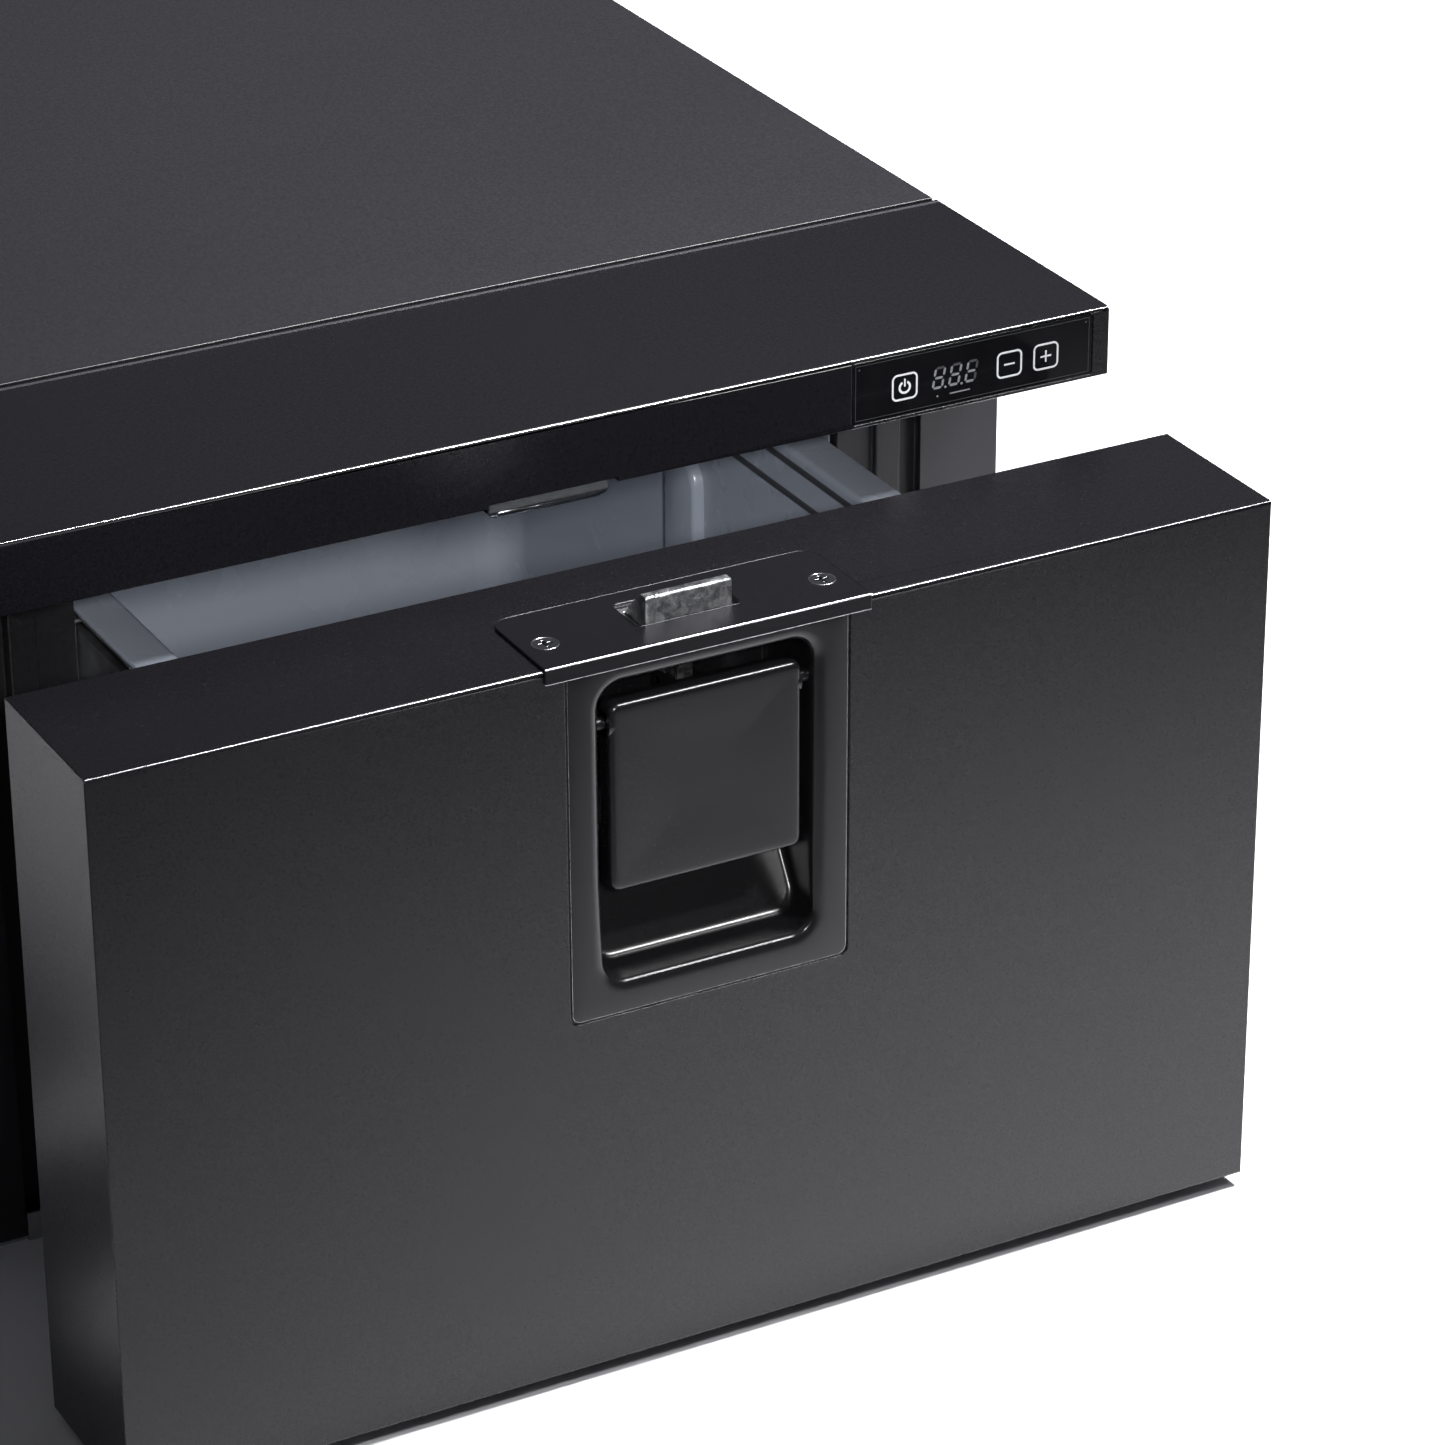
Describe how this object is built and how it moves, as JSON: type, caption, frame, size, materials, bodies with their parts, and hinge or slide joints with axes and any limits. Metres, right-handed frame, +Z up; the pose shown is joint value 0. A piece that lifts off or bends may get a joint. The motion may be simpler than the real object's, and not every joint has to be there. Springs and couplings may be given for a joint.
{
  "type": "drawer refrigerator",
  "caption": "Black built-in drawer refrigerator with a slide-out insulated bin, a slam-latch paddle, touch controls and a rear low-voltage cooling unit.",
  "frame": {"origin": "centre of the underside of the base pan, on the surface it stands on", "axes": "+X to the right as seen by a user facing the drawer, +Y from the drawer's face to the back panel, +Z up; the drawer opens along -Y"},
  "size_m": [0.462, 0.751, 0.326],
  "materials": {
    "black_powder_coat": "fine satin powder coat",
    "grey_powder_coat": "satin powder coat on the cabinet",
    "galvanised_steel": "zinc-coated, matt",
    "zinc_die_cast": "as cast and tumbled",
    "dark_chrome": "bright dark chrome",
    "black_pin": "turned, blackened",
    "black_screw": "black oxide",
    "zinc_screw": "zinc-plated",
    "ball_steel": "passivated cage with polished balls",
    "frame_plastic": "satin",
    "liner_plastic": "smooth blue-grey",
    "tray_plastic": "fine texture",
    "inner_panel_plastic": "satin",
    "overlay_gloss": "glossy black",
    "display_body": "matt grey",
    "board_green": "solder mask",
    "spring_steel": "bright",
    "lamp_white": "frosted",
    "insulation_foam": "closed-cell foam",
    "gasket_rubber": "soft, matt",
    "grommet_rubber": "matt",
    "evaporator_aluminium": "rolled",
    "condenser_aluminium": "thin fins",
    "compressor_black": "gloss enamel",
    "driver_black": "anodised heat sink",
    "fan_plastic": "glass-filled",
    "copper_pipe": "drawn copper",
    "brass_insert": "turned",
    "inlet_plastic": "satin"
  },
  "bodies": {
    "cabinet": {"base_pan": "galvanised_steel", "threaded_inserts": "brass_insert", "outer_wrapper": "grey_powder_coat", "rear_panel": "grey_powder_coat", "rear_screws": "black_screw", "body_insulation": "insulation_foam", "cavity_liner": "liner_plastic", "front_frame": "frame_plastic", "control_housing": "grey_powder_coat", "control_tray": "tray_plastic", "control_overlay": "overlay_gloss", "led_display": "display_body", "control_board": "board_green", "touch_springs": "spring_steel", "strike": "dark_chrome", "strike_screws": "zinc_screw", "interior_light": "lamp_white", "slide_outer_left": "galvanised_steel", "slide_outer_right": "galvanised_steel", "slide_outer_screws": "zinc_screw", "evaporator": "evaporator_aluminium", "compressor": "compressor_black", "compressor_plate": "galvanised_steel", "compressor_grommets": "grommet_rubber", "compressor_driver": "driver_black", "condenser": "condenser_aluminium", "fan_frame": "fan_plastic", "filter_drier": "copper_pipe", "suction_line": "copper_pipe", "discharge_line": "copper_pipe", "liquid_line": "copper_pipe", "capillary_line": "copper_pipe", "power_inlet": "inlet_plastic"},
    "drawer": {"drawer_front_skin": "black_powder_coat", "drawer_front_foam": "insulation_foam", "drawer_front_liner": "inner_panel_plastic", "door_gasket": "gasket_rubber", "bin": "liner_plastic", "bin_rail_left": "galvanised_steel", "bin_rail_right": "galvanised_steel", "rail_screws": "zinc_screw", "rail_rivets": "zinc_screw", "slide_inner_left": "galvanised_steel", "slide_inner_right": "galvanised_steel", "latch_pan": "black_powder_coat", "latch_cover": "black_powder_coat", "latch_cover_screws": "black_screw", "bolt_guide": "galvanised_steel", "paddle_pin": "black_pin"},
    "paddle": {"paddle": "black_powder_coat"},
    "bolt": {"latch_bolt": "zinc_die_cast", "bolt_spring": "spring_steel"},
    "slide_mid": {"slide_mid_left": "galvanised_steel", "slide_mid_right": "galvanised_steel"},
    "cage_outer": {"cage_outer_left": "ball_steel", "cage_outer_right": "ball_steel"},
    "cage_inner": {"cage_inner_left": "ball_steel", "cage_inner_right": "ball_steel"},
    "fan": {"fan_rotor": "fan_plastic"}
  },
  "joints": [
    {"name": "drawer_slide", "type": "slide", "parent": "cabinet", "child": "drawer", "axis": [0, -1, 0], "range_m": [-0.112, 0.238]},
    {"name": "slide_mid_travel", "type": "slide", "parent": "cabinet", "child": "slide_mid", "axis": [0, -1, 0], "range_m": [-0.056, 0.119]},
    {"name": "cage_outer_travel", "type": "slide", "parent": "cabinet", "child": "cage_outer", "axis": [0, -1, 0], "range_m": [-0.028, 0.0595]},
    {"name": "cage_inner_travel", "type": "slide", "parent": "cabinet", "child": "cage_inner", "axis": [0, -1, 0], "range_m": [-0.084, 0.1785]},
    {"name": "paddle_hinge", "type": "hinge", "parent": "drawer", "child": "paddle", "pos_m": [0, -0.4605, 0.2605], "axis": [-1, 0, 0], "range_deg": [0, 32], "stiffness_Nm_per_rad": 0.6, "springref_deg": -17.19},
    {"name": "bolt_slide", "type": "slide", "parent": "drawer", "child": "bolt", "axis": [0, 0, -1], "range_m": [0, 0.0107], "deforming": ["bolt_spring"]},
    {"name": "fan_spin", "type": "hinge", "parent": "cabinet", "child": "fan", "pos_m": [0.11, 0.215, 0.095], "axis": [0, 1, 0], "continuous": true}
  ],
  "couplings": [
    {"joint": "slide_mid_travel", "follows": "drawer_slide", "ratio": 0.5},
    {"joint": "cage_outer_travel", "follows": "drawer_slide", "ratio": 0.25},
    {"joint": "cage_inner_travel", "follows": "drawer_slide", "ratio": 0.75},
    {"joint": "bolt_slide", "follows": "paddle_hinge", "m_per_rad": 0.0185}
  ]
}
